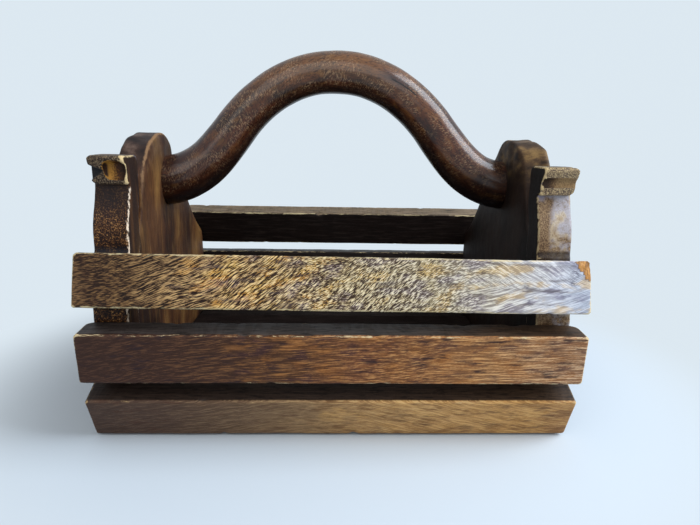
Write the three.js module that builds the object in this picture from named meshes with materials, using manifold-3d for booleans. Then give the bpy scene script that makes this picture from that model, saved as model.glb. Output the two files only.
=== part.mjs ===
// Slatted wooden magazine holder with two carved end boards and a swept carrying handle.
// Millimetres, +Z up. X runs along the slats, the front is towards -Y, and the origin
// is in the middle of the footprint on the surface that the holder stands on.

import * as THREE from "three";
import * as BufferGeometryUtils from "three/addons/utils/BufferGeometryUtils.js";
import Module from "manifold-3d";

const wasm = await Module();
wasm.setup();

// Clearances
const fitGap = 0.3;
const standClearance = 1.2;

// Slat stock
const slatLength = 380;
const slatWidth = 40;
const slatThickness = 24;
const slatArris = 2;
const slatEndArris = 1.2;

// Barrel-shaped sides: three slats a side, tangent to an arc
const holderDepth = 312.4;
const sideRadius = 175;
const sideSlatGap = 18.3;
const topSlatTilt = THREE.MathUtils.degToRad(14.5);
const sideLevels = ["top", "middle", "bottom"];

// Floor: slats that share the width between the bottom side slats
const floorSlatCount = 4;
const floorSlatGap = 16;
const floorEdgeGap = 7.4;

// End boards
const boardThickness = 27;
const slatOverhang = 5;
const boardArris = 1.6;
const edgeProud = 1.5;

// Post of the end board. Its outline runs from the front foot over the top to the rear
// foot, as shares of the half width at the shoulders and of the rise above them. The third
// number is the share of the flare by which the front swells on its way to the outer face.
const postRise = 88;
const postOutlineShares = [
  [-1.15, -0.32, 0], [-0.79, -0.035, 0], [-0.64, 0.18, 0], [-0.577, 0.42, 0.35],
  [-0.511, 0.631, 0.9], [-0.41, 0.83, 1], [-0.28, 0.949, 0.6], [-0.12, 1, 0],
  [0.025, 0.977, 0], [0.12, 0.888, 0], [0.404, 0.5, 0], [0.767, -0.011, 0], [1.15, -0.37, 0],
];
const postFlares = { left: 6, right: 13 };
const postInset = 3.5;
const postCrownWidth = 14;
const postCrownDepth = 2.5;
const postOuterArris = 4;

// Strip along the front edge of the end board, which rises above the shoulder as a prong
const stripDepth = 23;
const prongDepth = 20;
const prongLean = 11;
const prongBow = 5;
const prongUndercut = 6;
const prongRises = { left: 71, right: 67.5 };

// Slot between the prong and the post
const slotRise = 5;
const slotWidth = 24;
const slotFillet = 9;
const webInset = 5.5;

// Scooped ear at the tip of the prong
const earHeight = 22;
const earOverhang = 13;
const earNose = 4;
const earTaper = 2.5;
const earBackRound = 7;
const earRimWall = 2.5;
const earLipRound = 4;
const earLobeRound = 8;
const scoopHeight = 13.5;
const scoopRise = 1.5;
const scoopDepths = { left: 11.5, right: 6 };

// Handle
const handleCrown = 315.5;
const handleDiameter = 39;
const handleDepth = 37;
const handleEndDiameter = 46;
const handleSeatDrop = 43;
const tenonDiameter = 24;
const tenonBackWall = 5.5;
const tenonChamfer = 1.5;

// Nails, two through each slat end into the end board
const nailLength = 48;
const nailDiameter = 2.8;
const nailHeadDiameter = 4.4;
const nailHeadHeight = 2;
const nailSink = 1;
const nailPointLength = 4;
const nailSpacing = 18;
const topNailSpacing = 8;
const topNailDrop = 11;
const nailStagger = 4;

// Facets
const outlineSteps = 46;
const curveSteps = 6;
const arrisSteps = 3;
const bevelSteps = 2;
const crownSteps = 4;
const capSteps = 6;
const handleSides = 20;
const handleSteps = 40;
const nailSides = 6;
const scoopSides = 20;

const darkWood = { color: 0x4a2a18, roughness: 0.45, metalness: 0 };
const wornWood = { color: 0x7a5a38, roughness: 0.55, metalness: 0 };
const blackWood = { color: 0x2c1a12, roughness: 0.4, metalness: 0 };
const steel = { color: 0x5a5550, roughness: 0.5, metalness: 1 };

// Stations along X

const boardOuter = slatLength / 2 - slatOverhang;
const boardInner = boardOuter - boardThickness;
const postFace = boardInner + postInset;
const webFace = boardInner + webInset;
const nailStation = boardInner + boardThickness / 2;
const tenonLength = boardThickness - postInset - tenonBackWall;

// Arc of the sides, and the heights and widths that follow from it
const slatPitchAngle = (slatWidth + sideSlatGap) / sideRadius;
const bottomTilt = topSlatTilt - (sideLevels.length - 1) * slatPitchAngle;
const slatReach = sideRadius - slatThickness / 2;
const sideCentreY = sideRadius - holderDepth / 2;
const sideCentreZ = standClearance - sideRadius * Math.sin(bottomTilt)
  + slatWidth / 2 * Math.cos(bottomTilt);
const outlineRadius = sideRadius - slatThickness + edgeProud;
const shoulderHeight = sideCentreZ + slatReach * Math.sin(topSlatTilt)
  + slatWidth / 2 * Math.cos(topSlatTilt);
const shoulderY = onSideArc(shoulderHeight);
const postTop = shoulderHeight + postRise;
const postFoot = holderDepth / 2 + postCrownWidth;
const slotFloor = shoulderHeight + slotRise;
const handleSeatHeight = postTop - handleSeatDrop;
const floorTop = slatThickness + fitGap;
const floorHalfWidth = (sideRadius - slatThickness) * Math.cos(bottomTilt)
  + slatWidth / 2 * Math.sin(bottomTilt) - sideCentreY - floorEdgeGap;
const floorSlatWidth = (2 * floorHalfWidth + floorSlatGap) / floorSlatCount - floorSlatGap;

// Height of a bottom side slat's middle line over the floor's top edge, square to its nails,
// and how far its nails rise where the floor is in their way
const overFloorEdge = (sideCentreY - slatReach * Math.cos(bottomTilt) + floorHalfWidth)
  * Math.sin(bottomTilt)
  + (sideCentreZ + slatReach * Math.sin(bottomTilt) - slatThickness) * Math.cos(bottomTilt);
const bottomNailRise = Math.max(
  0, nailSpacing / 2 + nailDiameter / 2 + fitGap - overFloorEdge,
);

// Where the front edge of an end board lies at a height, below its shoulder.
function onSideArc(z) {
  const rise = z - sideCentreZ;
  return sideCentreY - Math.sqrt(outlineRadius ** 2 - rise ** 2);
}

function arcAngle(z, radius) {
  return Math.asin((z - sideCentreZ) / radius);
}

// Places of the slats

// A place is the middle of a slat and the turn about X that points its local +Y outwards.
function sidePlace(side, index) {
  const tilt = topSlatTilt - index * slatPitchAngle;
  const y = sideCentreY - slatReach * Math.cos(tilt);
  const z = sideCentreZ + slatReach * Math.sin(tilt);
  const place = side === "front"
    ? { y, turn: Math.PI - tilt, down: 1 }
    : { y: -y, turn: tilt, down: -1 };
  const isTop = index === 0;
  const isBottom = index === sideLevels.length - 1;
  const drop = isTop ? topNailDrop : -bottomNailRise * isBottom;
  const nails = {
    spacing: isTop ? topNailSpacing : nailSpacing,
    shift: drop * place.down,
    x: nailStation - nailStagger,
  };
  return { ...place, z, width: slatWidth, nails };
}

function floorPlace(index) {
  const fromMiddle = index - (floorSlatCount - 1) / 2;
  return {
    y: fromMiddle * (floorSlatWidth + floorSlatGap),
    z: slatThickness / 2,
    turn: -Math.PI / 2,
    width: floorSlatWidth,
    nails: { spacing: nailSpacing, shift: 0, x: nailStation + nailStagger },
  };
}

const slatPlaces = [];
for (const side of ["front", "rear"]) {
  sideLevels.forEach((level, index) => {
    slatPlaces.push({ name: `${side}_${level}_slat`, ...sidePlace(side, index) });
  });
}
for (let index = 0; index < floorSlatCount; index += 1) {
  slatPlaces.push({ name: `floor_slat_${index + 1}`, ...floorPlace(index) });
}

function placeMatrix(place) {
  return new THREE.Matrix4()
    .makeRotationX(place.turn)
    .setPosition(0, place.y, place.z);
}

// Solids

function solidOf(geometry) {
  const bare = geometry.clone();
  bare.deleteAttribute("normal");
  bare.deleteAttribute("uv");
  const merged = BufferGeometryUtils.mergeVertices(bare, 1e-4);
  return new wasm.Manifold(new wasm.Mesh({
    numProp: 3,
    vertProperties: new Float32Array(merged.attributes.position.array),
    triVerts: new Uint32Array(merged.index.array),
  }));
}

function geometryOf(solid) {
  const mesh = solid.getMesh();
  const geometry = new THREE.BufferGeometry();
  geometry.setAttribute("position", new THREE.BufferAttribute(mesh.vertProperties, 3));
  geometry.setIndex(new THREE.BufferAttribute(mesh.triVerts, 1));
  geometry.computeVertexNormals();
  return geometry;
}

function subtractAll(solid, cutters) {
  return cutters.reduce((rest, cutter) => rest.subtract(cutter), solid);
}

// A shape drawn in Y and Z, carried along X between two stations with rounded arrises.
function boardOf(shape, from, to, arris, curveSegments = curveSteps) {
  const geometry = new THREE.ExtrudeGeometry(shape, {
    depth: to - from - 2 * arris,
    bevelThickness: arris,
    bevelSize: arris,
    bevelOffset: -arris,
    bevelSegments: bevelSteps,
    bevelEnabled: arris > 0,
    curveSegments,
  });
  const axes = new THREE.Matrix4().makeBasis(
    new THREE.Vector3(0, 1, 0),
    new THREE.Vector3(0, 0, 1),
    new THREE.Vector3(1, 0, 0),
  );
  return geometry.applyMatrix4(axes).translate(from + arris, 0, 0);
}

// A closed skin over rings that have the same number of points, capped at both ends.
function loft(rings) {
  const count = rings[0].length;
  const middleOf = (ring) => ring
    .reduce((sum, point) => sum.add(point), new THREE.Vector3())
    .divideScalar(count);
  const points = [...rings.flat(), middleOf(rings[0]), middleOf(rings.at(-1))];
  const firstCap = rings.length * count;
  const indices = [];
  for (let ring = 0; ring < rings.length - 1; ring += 1) {
    for (let step = 0; step < count; step += 1) {
      const a = ring * count + step;
      const b = ring * count + (step + 1) % count;
      indices.push(a, b, b + count, a, b + count, a + count);
    }
  }
  const lastRing = (rings.length - 1) * count;
  for (let step = 0; step < count; step += 1) {
    const next = (step + 1) % count;
    indices.push(firstCap, next, step);
    indices.push(firstCap + 1, lastRing + step, lastRing + next);
  }
  const geometry = new THREE.BufferGeometry().setFromPoints(points);
  geometry.setIndex(indices);
  geometry.computeVertexNormals();
  return geometry;
}

function mirroredInX(geometry) {
  const mirrored = geometry.clone().scale(-1, 1, 1);
  const index = mirrored.index.array;
  for (let corner = 0; corner < index.length; corner += 3) {
    [index[corner + 1], index[corner + 2]] = [index[corner + 2], index[corner + 1]];
  }
  mirrored.computeVertexNormals();
  return mirrored;
}

// Nails

// Four nails a slat, in pairs across it over each end board.
function nailSpots({ x, spacing, shift }) {
  return [-x, x].flatMap((station) => (
    [-spacing / 2, spacing / 2].map((across) => ({ x: station, across: across + shift }))
  ));
}

const nailTop = slatThickness / 2 - nailSink;

// A nail stands along local +Y with its head at the top; extra widens it into a hole.
function nailGeometry(extra) {
  const shank = nailDiameter / 2 + extra;
  const head = nailHeadDiameter / 2 + extra;
  const top = extra > 0 ? slatThickness / 2 + edgeProud : nailTop;
  const tip = nailTop - nailLength - extra;
  const profile = [
    new THREE.Vector2(0, tip),
    new THREE.Vector2(shank, tip + nailPointLength),
    new THREE.Vector2(shank, nailTop - nailHeadHeight - extra),
    new THREE.Vector2(head, nailTop - nailHeadHeight / 2 - extra),
    new THREE.Vector2(head, top),
    new THREE.Vector2(0, top),
  ];
  return new THREE.LatheGeometry(profile, nailSides);
}

function nailHoles(nails) {
  const hole = nailGeometry(fitGap);
  return nailSpots(nails).map(({ x, across }) => hole.clone().translate(x, 0, across));
}

// Slats

function slatGeometry({ width, nails }) {
  const halfThick = slatThickness / 2;
  const halfWide = width / 2;
  const r = slatArris;
  const section = new THREE.Shape();
  section.absarc(halfThick - r, halfWide - r, r, 0, Math.PI / 2);
  section.absarc(-halfThick + r, halfWide - r, r, Math.PI / 2, Math.PI);
  section.absarc(-halfThick + r, -halfWide + r, r, Math.PI, 1.5 * Math.PI);
  section.absarc(halfThick - r, -halfWide + r, r, 1.5 * Math.PI, 2 * Math.PI);
  const bar = boardOf(section, -slatLength / 2, slatLength / 2, slatEndArris, arrisSteps);
  return geometryOf(subtractAll(solidOf(bar), nailHoles(nails).map(solidOf)));
}

// Room that a slat and its nails take out of an end board.
function slatHousing(place) {
  const seat = new THREE.BoxGeometry(
    slatLength + 2 * slatOverhang,
    slatThickness + 2 * fitGap,
    place.width + 2 * fitGap,
  );
  const cutters = [seat, ...nailHoles(place.nails)];
  return cutters.map((cutter) => cutter.applyMatrix4(placeMatrix(place)));
}

// End boards

// The outline closes below the floor, and its points are set in from it by the inset.
function postOutline(inset, flare) {
  const places = postOutlineShares.map(([across, up, swell]) => (
    new THREE.Vector3(
      -across * shoulderY - swell * flare, shoulderHeight + up * postRise, 0,
    )
  ));
  const over = new THREE.CatmullRomCurve3(places.reverse(), false, "centripetal")
    .getSpacedPoints(outlineSteps);
  const outline = [
    new THREE.Vector2(postFoot, -floorTop),
    new THREE.Vector2(postFoot, over[0].y),
    ...over,
    new THREE.Vector2(-postFoot, over.at(-1).y),
    new THREE.Vector2(-postFoot, -floorTop),
  ];
  return outline.map((point, index) => {
    const before = outline.at(index - 1);
    const after = outline[(index + 1) % outline.length];
    const along = new THREE.Vector2(after.x - before.x, after.y - before.y).normalize();
    return new THREE.Vector2(point.x - along.y * inset, point.y + along.x * inset);
  });
}

// The post is a loft of insets of its outline, crowned on its inner face.
function postSolid(side) {
  const stations = [];
  for (let step = crownSteps; step >= 0; step -= 1) {
    const turn = step / crownSteps * Math.PI / 2;
    stations.push({
      x: postFace + postCrownDepth * (1 - Math.sin(turn)),
      inset: postCrownWidth * (1 - Math.cos(turn)),
    });
  }
  for (const turn of [0, Math.PI / 4, Math.PI / 2]) {
    stations.push({
      x: boardOuter - postOuterArris * (1 - Math.sin(turn)),
      inset: postOuterArris * (1 - Math.cos(turn)),
    });
  }
  const rings = stations.map(({ x, inset }) => {
    const flare = postFlares[side] * (x - postFace) / (boardOuter - postFace);
    return postOutline(inset, flare).map((point) => new THREE.Vector3(x, point.x, point.y));
  });
  return solidOf(loft(rings));
}

// Everything inside the curved sides, from the floor slats to above the post.
function envelopeShape() {
  const low = arcAngle(floorTop, outlineRadius);
  const high = arcAngle(shoulderHeight, outlineRadius);
  const above = postTop + postCrownWidth;
  const shape = new THREE.Shape();
  shape.moveTo(-shoulderY, above);
  shape.lineTo(shoulderY, above);
  shape.absarc(sideCentreY, sideCentreZ, outlineRadius, Math.PI - high, Math.PI - low);
  shape.absarc(-sideCentreY, sideCentreZ, outlineRadius, low, high);
  return shape;
}

// Faces of the prong seen along X: its front and back under the ear, and its back at the
// foot of the slot.
const prongFront = shoulderY + prongLean;
const prongBack = prongFront + prongDepth;
const prongRoot = prongBack - prongUndercut;

// The strip and its prong, drawn from the foot of the slot over the ear and down the front.
function prongShape(earTop) {
  const earFoot = earTop - earHeight;
  const earFront = prongFront - earOverhang;
  const earLip = earFront + earTaper;
  const slotFoot = slotFloor + slotFillet;
  const behind = (slotFoot + earFoot) / 2;
  const hook = (shoulderHeight + earFoot) / 2;
  const stripRadius = outlineRadius - stripDepth;
  const shape = new THREE.Shape();
  shape.moveTo(prongRoot, slotFoot);
  shape.bezierCurveTo(prongRoot, behind, prongBack, behind, prongBack, earFoot);
  shape.lineTo(prongBack, earTop - earBackRound);
  shape.quadraticCurveTo(prongBack, earTop, prongBack - earBackRound, earTop);
  shape.lineTo(earFront + earNose, earTop);
  shape.quadraticCurveTo(earFront, earTop, earFront, earTop - earNose);
  shape.lineTo(earLip, earFoot + earNose);
  shape.quadraticCurveTo(earLip, earFoot, earLip + earNose, earFoot);
  shape.lineTo(prongFront, earFoot);
  shape.bezierCurveTo(
    prongFront - prongBow, hook,
    shoulderY, hook + prongBow,
    shoulderY, shoulderHeight,
  );
  shape.absarc(
    sideCentreY, sideCentreZ, outlineRadius,
    Math.PI - arcAngle(shoulderHeight, outlineRadius),
    Math.PI - arcAngle(floorTop, outlineRadius),
  );
  shape.absarc(
    sideCentreY, sideCentreZ, stripRadius,
    Math.PI - arcAngle(floorTop, stripRadius),
    Math.PI - arcAngle(shoulderHeight, stripRadius),
    true,
  );
  return shape;
}

// The web that closes the foot of the slot between the prong and the post.
function webShape() {
  const front = shoulderY + stripDepth / 2;
  const postSide = prongRoot + slotWidth;
  const inPost = postSide + stripDepth;
  const foot = shoulderHeight / 2;
  const bend = slotWidth / 5;
  const shape = new THREE.Shape();
  shape.moveTo(inPost, foot);
  shape.lineTo(inPost, slotFloor);
  shape.lineTo(postSide, slotFloor + slotFillet);
  shape.bezierCurveTo(
    postSide - bend, slotFloor,
    prongRoot + bend, slotFloor,
    prongRoot, slotFloor + slotFillet,
  );
  shape.lineTo(front, shoulderHeight);
  shape.lineTo(front, foot);
  return shape;
}

// The gouged hollow of an ear: open to the outer face, stopped by a rim at the inner one.
function earScoop(earTop, depth) {
  const reach = boardThickness;
  const round = scoopHeight / 2;
  return new THREE.CapsuleGeometry(round, reach, capSteps, scoopSides)
    .rotateZ(Math.PI / 2)
    .scale(1, depth / round, 1)
    .translate(
      boardInner + earRimWall + round + reach / 2,
      prongFront - earOverhang,
      earTop - earHeight / 2 + scoopRise,
    );
}

// What comes off a corner of an ear's outer end, drawn in X and Z and carried along Y. The
// corner points up for the lip, and down for the lobe under the hollow.
function earEndCut(corner, radius, up) {
  const beyond = 1;
  const middle = corner - up * radius;
  const shape = new THREE.Shape();
  shape.moveTo(boardOuter + beyond, corner + up * beyond);
  shape.lineTo(boardOuter + beyond, middle);
  shape.absarc(boardOuter - radius, middle, radius, 0, up * Math.PI / 2, up < 0);
  shape.lineTo(boardOuter - radius, corner + up * beyond);
  const depth = earOverhang + beyond;
  return new THREE.ExtrudeGeometry(shape, {
    depth, bevelEnabled: false, curveSegments: curveSteps,
  })
    .rotateX(Math.PI / 2)
    .translate(0, prongFront, 0);
}

function tenonSocket() {
  const mouth = postInset;
  const depth = mouth + tenonLength + fitGap;
  return new THREE.CylinderGeometry(
    tenonDiameter / 2 + fitGap, tenonDiameter / 2 + fitGap, depth, handleSides,
  )
    .rotateZ(Math.PI / 2)
    .translate(postFace - mouth + depth / 2, 0, handleSeatHeight);
}

function endBoardGeometry(side) {
  const envelope = solidOf(boardOf(envelopeShape(), boardInner, boardOuter + 1, 0));
  const earTop = shoulderHeight + prongRises[side];
  const prong = solidOf(boardOf(prongShape(earTop), boardInner, boardOuter, boardArris));
  const web = solidOf(boardOf(webShape(), webFace, boardOuter, boardArris));
  const blank = postSolid(side).intersect(envelope).add(web).add(prong);
  const cutters = [
    ...slatPlaces.flatMap(slatHousing),
    earScoop(earTop, scoopDepths[side]),
    earEndCut(earTop, earLipRound, 1),
    earEndCut(earTop - earHeight, earLobeRound, -1),
    tenonSocket(),
  ];
  const board = geometryOf(subtractAll(blank, cutters.map(solidOf)));
  return side === "left" ? mirroredInX(board) : board;
}

// Handle

// Shares of the half span and of the rise that the middle line passes through.
const handleSweep = [
  [1, 0], [0.87, 0.035], [0.74, 0.205], [0.548, 0.577], [0.354, 0.842], [0.175, 0.968], [0, 1],
];

function handleGeometry() {
  const halfSpan = postFace - fitGap;
  const rise = handleCrown - handleDiameter / 2 - handleSeatHeight;
  const half = handleSweep.map(([across, up]) => (
    new THREE.Vector3(across * halfSpan, 0, handleSeatHeight + up * rise)
  ));
  const other = half.slice(0, -1).reverse().map((point) => (
    new THREE.Vector3(-point.x, 0, point.z)
  ));
  const path = new THREE.CatmullRomCurve3([...half, ...other], false, "centripetal");
  const sectionAt = (centre, along, high, deep) => {
    const up = new THREE.Vector3(0, 1, 0).cross(along).normalize();
    const points = [];
    for (let step = 0; step < handleSides; step += 1) {
      const turn = step / handleSides * 2 * Math.PI;
      points.push(centre.clone()
        .addScaledVector(up, high / 2 * Math.cos(turn))
        .add(new THREE.Vector3(0, deep / 2 * Math.sin(turn), 0)));
    }
    return points;
  };
  const tenonRings = (end) => {
    const outwards = new THREE.Vector3(-1, 0, 0);
    const ring = (x, diameter) => sectionAt(
      new THREE.Vector3(end * x, 0, handleSeatHeight), outwards, diameter, diameter,
    );
    return [
      ring(halfSpan + tenonLength, tenonDiameter - 2 * tenonChamfer),
      ring(halfSpan + tenonLength - tenonChamfer, tenonDiameter),
      ring(halfSpan, tenonDiameter),
    ];
  };
  const rings = [...tenonRings(1)];
  for (let step = 0; step <= handleSteps; step += 1) {
    const share = step / handleSteps;
    const fromCrown = Math.abs(2 * share - 1);
    const swell = fromCrown ** 4;
    const isEnd = step === 0 || step === handleSteps;
    rings.push(sectionAt(
      path.getPointAt(share),
      isEnd ? new THREE.Vector3(-1, 0, 0) : path.getTangentAt(share),
      THREE.MathUtils.lerp(handleDiameter, handleEndDiameter, swell),
      THREE.MathUtils.lerp(handleDepth, handleEndDiameter, swell),
    ));
  }
  rings.push(...tenonRings(-1).reverse());
  return loft(rings);
}

// Assembly

function pieceOf(name, geometry, finish) {
  const piece = new THREE.Mesh(geometry, new THREE.MeshStandardMaterial(finish));
  piece.name = name;
  return piece;
}

const holder = new THREE.Group();
holder.name = "magazine_holder";

for (const side of ["left", "right"]) {
  holder.add(pieceOf(`${side}_end_board`, endBoardGeometry(side), blackWood));
}
holder.add(pieceOf("handle", handleGeometry(), darkWood));

const nail = nailGeometry(0);
for (const place of slatPlaces) {
  const course = new THREE.Group();
  course.position.set(0, place.y, place.z);
  course.rotation.x = place.turn;
  const finish = place.name.includes("top") ? wornWood : darkWood;
  course.add(pieceOf(place.name, slatGeometry(place), finish));
  nailSpots(place.nails).forEach(({ x, across }, index) => {
    const fastener = pieceOf(`${place.name}_nail_${index + 1}`, nail, steel);
    fastener.position.set(x, 0, across);
    course.add(fastener);
  });
  holder.add(course);
}

export default holder;
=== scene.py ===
# %% [markdown]
# A magazine holder of dark-stained hardwood: six side slats and four floor slats nailed round
# two carved end boards, with a bar handle swept up between them.
# The construction is a fixed frame, made elsewhere at its real size. This lesson gives it its
# looks: each piece is shaped again as a worn, hand-made one, in the place of its plain
# counterpart, and gets a wood finish mixed from procedural nodes.

# %% Load the frame
import math
import random
from collections import Counter

import bpy
import numpy as np
from mathutils import Matrix, Vector, noise


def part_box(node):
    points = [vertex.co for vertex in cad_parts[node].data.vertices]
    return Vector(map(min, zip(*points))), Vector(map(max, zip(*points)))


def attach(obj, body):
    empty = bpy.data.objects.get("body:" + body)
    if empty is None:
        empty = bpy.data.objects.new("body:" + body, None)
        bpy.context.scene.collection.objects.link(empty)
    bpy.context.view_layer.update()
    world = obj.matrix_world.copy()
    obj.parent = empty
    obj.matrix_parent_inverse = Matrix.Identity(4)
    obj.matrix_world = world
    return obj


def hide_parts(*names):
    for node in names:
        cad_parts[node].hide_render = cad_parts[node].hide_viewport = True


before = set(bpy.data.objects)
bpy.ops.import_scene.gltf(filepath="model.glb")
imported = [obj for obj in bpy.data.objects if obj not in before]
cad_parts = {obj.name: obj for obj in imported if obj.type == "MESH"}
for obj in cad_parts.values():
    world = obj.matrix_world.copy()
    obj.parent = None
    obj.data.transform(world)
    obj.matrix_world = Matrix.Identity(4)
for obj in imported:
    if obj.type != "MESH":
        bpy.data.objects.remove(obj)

MM = 0.001
scene = bpy.context.scene
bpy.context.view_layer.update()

# %% [markdown]
# The camera stands at the photograph's viewing angle: a little above the holder, looking down
# by about 13 degrees. Its place was found by fitting a pinhole camera to the corners of the
# slats. A camera could be aimed by hand, but a fitted one lets the render be laid over the
# photograph, so that every later difference is one of shape and not of viewpoint.

# %% Camera
IMAGE_WIDTH = 700
FOCAL_PIXELS = 539.9
SENSOR_WIDTH = 36.0
NEAREST_SEEN = 0.02
CAMERA_PLACE = (-0.0033, -0.5314, 0.2357)
# An unturned camera looks straight down. These turns follow each other: it leans, looks up as
# far as 13 degrees below level, and swings to the right of +Y.
CAMERA_TURNS = [(1.044, "Z"), (77.138, "X"), (-2.014, "Z")]
lens = bpy.data.cameras.new("camera")
lens.sensor_width = SENSOR_WIDTH
lens.lens = FOCAL_PIXELS / IMAGE_WIDTH * SENSOR_WIDTH
lens.clip_start = NEAREST_SEEN
camera = bpy.data.objects.new("camera", lens)
turn = Matrix.Identity(4)
for degrees, axis in CAMERA_TURNS:
    turn = Matrix.Rotation(math.radians(degrees), 4, axis) @ turn
camera.matrix_world = Matrix.Translation(CAMERA_PLACE) @ turn
scene.collection.objects.link(camera)
scene.camera = camera
print("lens", round(lens.lens, 2), "mm")

# %% [markdown]
# A finish is a tree of nodes, and a tree written node by node is hard to read. These helpers
# keep a tree under construction: each call adds a node or two and hands back the output. On a
# material, `lay` brushes one more coat over the colour so far, so that a finish reads like the
# order in which a finisher works: ground colour, grain, pores, wear, polish.

# %% Helpers for mixing finishes
def paint(code):
    """A colour written as #rrggbb, as Blender's linear values."""
    shares = [int(code[place:place + 2], 16) / 255 for place in (1, 3, 5)]
    linear = [c / 12.92 if c <= 0.04045 else ((c + 0.055) / 1.055) ** 2.4 for c in shares]
    return (*linear, 1)


class Tree:
    """A tree of nodes under construction."""

    def __init__(self, tree):
        self.nodes, self.links = tree.nodes, tree.links

    def feed(self, socket, value):
        if isinstance(value, bpy.types.NodeSocket):
            self.links.new(value, socket)
        else:
            socket.default_value = value

    def node(self, kind, inputs, output=0, **settings):
        made = self.nodes.new(f"ShaderNode{kind}")
        for key, value in settings.items():
            setattr(made, key, value)
        for key, value in inputs.items():
            self.feed(made.inputs[key], value)
        return made.outputs[output]

    def math(self, operation, a, b=0.0):
        return self.node("Math", {0: a, 1: b}, operation=operation)

    def sum(self, total, *others):
        for other in others:
            total = self.math("ADD", total, other)
        return total

    def times(self, product, *others):
        for other in others:
            product = self.math("MULTIPLY", product, other)
        return product

    def rest(self, share):
        """What a share leaves of the whole."""
        return self.math("SUBTRACT", 1.0, share)

    def off(self, value, place):
        """The distance from a place given in millimetres."""
        return self.math("ABSOLUTE", self.math("SUBTRACT", value, place * MM))

    def centred(self, noise_value, amount):
        """Noise moved so that it wavers round zero, by an amount."""
        return self.times(self.sum(noise_value, -0.5), amount)

    def band(self, value, low, high):
        """0 below low, 1 above high, and a smooth rise between; low may be the greater."""
        inputs = {"Value": value, "From Min": low, "From Max": high}
        if low > high:
            inputs = {"Value": value, "From Min": high, "From Max": low, "To Min": 1.0, "To Max": 0.0}
        return self.node("MapRange", inputs, interpolation_type="SMOOTHSTEP")

    def span(self, value, low, high):
        """A band whose ends are given in millimetres."""
        return self.band(value, low * MM, high * MM)

    def after(self, value, place, blend=0.05):
        return self.band(value, place - blend, place + blend)

    def seen_or_mirrored(self):
        """1 for what the camera sees, straight or in a gloss, and 0 for what only lights."""
        path = self.node("LightPath", {}).node
        return self.math("MAXIMUM", path.outputs["Is Camera Ray"], path.outputs["Is Glossy Ray"])


class Finish(Tree):
    """A material under construction, with the colour laid so far."""

    def __init__(self, name):
        self.material = bpy.data.materials.new(name)
        self.material.use_nodes = True
        super().__init__(self.material.node_tree)
        self.shader = self.nodes["Principled BSDF"]

    def set(self, **values):
        """Feeds the shader's inputs; a name's underscores stand for spaces."""
        for name, value in values.items():
            self.feed(self.shader.inputs[name.replace("_", " ")], value)

    def place(self):
        return self.node("TexCoord", {}, "Object")

    def stored(self, name, output="Fac"):
        return self.node("Attribute", {}, output, attribute_name=name)

    def axes(self, where):
        return self.node("SeparateXYZ", {0: where}).node.outputs[:]

    def facing(self):
        """The way the surface looks, along the piece's own axes."""
        return self.axes(self.node("TexCoord", {}, "Normal"))

    def swirl(self, where, size, amount, shift=(0, 0, 0)):
        """Coordinates that wander sideways, by noise with cells of one size."""
        cells = {"Vector": where, "Location": shift, "Scale": [size * MM] * 3}
        laid = self.node("Mapping", cells, vector_type="TEXTURE")
        drift = self.node("TexNoise", {"Vector": laid, "Scale": 1.0, "Detail": 1.0}, "Color")
        middle = self.node("VectorMath", {0: drift, 1: (0.5, 0.5, 0.5)}, operation="SUBTRACT")
        pushes = {0: middle, 1: [2 * amount * MM] * 3, 2: where}
        return self.node("VectorMath", pushes, operation="MULTIPLY_ADD")

    def grain(self, where, size, lean=0.0, shift=(0, 0, 0), detail=2.0, roughness=0.5, warp=0.0):
        """Noise whose cells measure size, in millimetres, and lean by degrees in X and Z."""
        cells = {
            "Vector": where, "Location": shift, "Rotation": (0, math.radians(lean), 0),
            "Scale": [length * MM for length in size],
        }
        laid = self.node("Mapping", cells, vector_type="TEXTURE")
        layers = {"Scale": 1.0, "Detail": detail, "Roughness": roughness, "Distortion": warp}
        return self.node("TexNoise", {"Vector": laid, **layers})

    def tones(self, value, stops):
        """A run of colours; stops are pairs of place and colour code."""
        ramp = self.node("ValToRGB", {"Fac": value}).node
        elements = ramp.color_ramp.elements
        while len(elements) < len(stops):
            elements.new(0.5)
        for element, (place, code) in zip(elements, stops):
            element.position = place
            element.color = paint(code)
        return ramp.outputs[0]

    def mix(self, share, under, over):
        """One colour over another; each is a colour code or an output."""
        under, over = (paint(value) if isinstance(value, str) else value for value in (under, over))
        return self.node("Mix", {"Factor": share, 6: under, 7: over}, 2, data_type="RGBA")

    def lay(self, coat, *shares):
        """Brushes a coat over the colour so far, as thick as its shares multiplied."""
        self.colour = self.mix(self.times(*shares), self.colour, coat)

    def close(self, roughness, height, depth, **polish):
        """Connects what was laid to the shader; depth is the relief in millimetres."""
        bump = self.node("Bump", {"Height": height, "Strength": 1.0, "Distance": depth * MM})
        self.set(Base_Color=self.colour, Roughness=roughness, Normal=bump, **polish)
        return self.material


print("finish helpers ready")

# %% [markdown]
# Light and floor. The holder stands in a pale room with a big soft window to the right, which
# lays a long highlight on the handle's right limb and leaves the inner face of the right-hand
# board dark. One large area lamp stands in for the window, a weaker and warmer one for the
# room in front, and an even world gives the rest. The pale backdrop is only painted for the
# camera and for reflections, so it adds no light to the wood. For them the floor fades into
# it with the distance, and near the holder it keeps its shadow.

# %% Light and floor
BACKDROP = (0.72, 0.81, 0.88, 1)
SKY, SKY_STRENGTH = (0.86, 0.92, 1.0, 1), 0.46
FLOOR_COLOUR = (0.56, 0.62, 0.67, 1)
FLOOR_ROUGHNESS, FLOOR_SHINE = 0.9, 0.1
FLOOR_SIZE = 8.0
FLOOR_FADES = (0.24, 0.42)
AIM = Vector((0, 0, 0.14))
LAMPS = {
    "window": {"place": (1.45, -0.35, 1.25), "size": (1.1, 1.5), "power": 50, "colour": (0.84, 0.91, 1.0)},
    "room": {"place": (-0.35, -1.9, 1.5), "size": (2.4, 1.8), "power": 24, "colour": (1.0, 0.97, 0.93)},
}


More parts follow.
